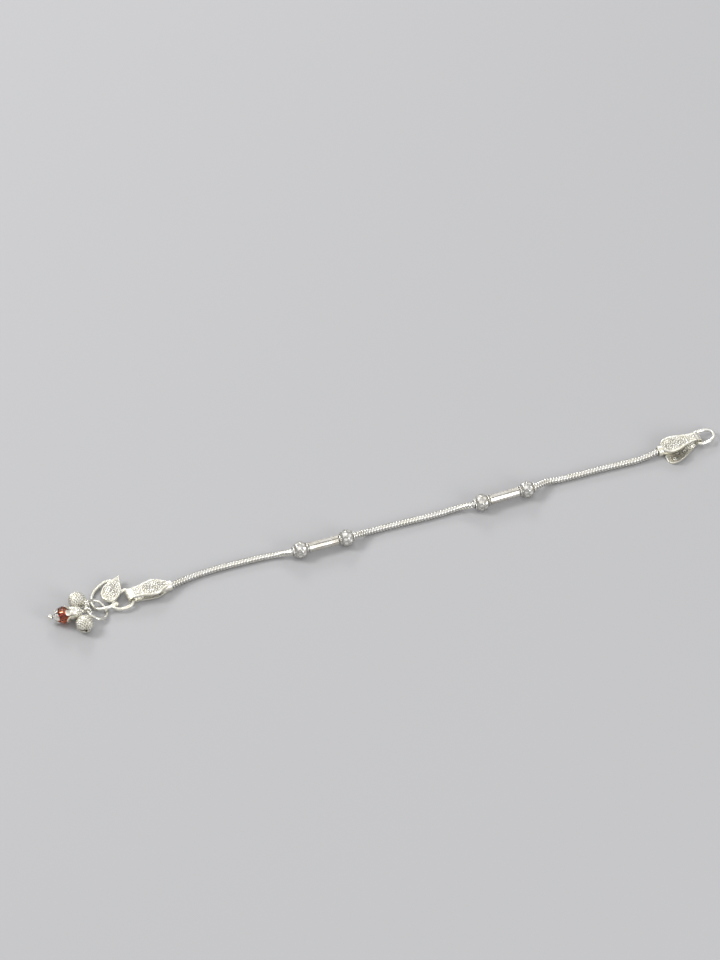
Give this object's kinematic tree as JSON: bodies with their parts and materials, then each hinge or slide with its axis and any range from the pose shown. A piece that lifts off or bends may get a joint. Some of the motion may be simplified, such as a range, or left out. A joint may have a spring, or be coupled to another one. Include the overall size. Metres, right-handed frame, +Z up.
{
  "type": "payal anklet",
  "caption": "Silver snake-chain payal anklet laid open, with bead-and-tube stations, folded leaf end caps, a leaf hook and ring clasp, and a drop of small bells with a red stone.",
  "frame": {"origin": "middle of the laid-open anklet's footprint, on the surface it lies on", "axes": "+X along the strand towards the oval ring, +Y across the strand away from the near side, +Z up"},
  "size_m": [0.2842, 0.0236, 0.0077],
  "materials": {
    "bright_silver": "bright cut silver, slightly warm",
    "frosted_silver": "cast and frosted silver with bright rims",
    "red_stone": "cut red glass, clear, orange where the light comes through"
  },
  "bodies": {
    "root": {"snake_chain": "bright_silver", "bead_1": "bright_silver", "bead_2": "bright_silver", "tube_1": "bright_silver", "bead_3": "bright_silver", "bead_4": "bright_silver", "tube_2": "bright_silver", "end_cap_left": "frosted_silver", "end_cap_right": "frosted_silver", "s_hook": "frosted_silver", "end_ring": "bright_silver", "jump_ring": "bright_silver", "bell_1": "frosted_silver", "bell_2": "frosted_silver", "head_pin": "bright_silver", "bead_cap_upper": "frosted_silver", "stone_bead": "red_stone", "bead_cap_lower": "bright_silver"}
  },
  "joints": []
}
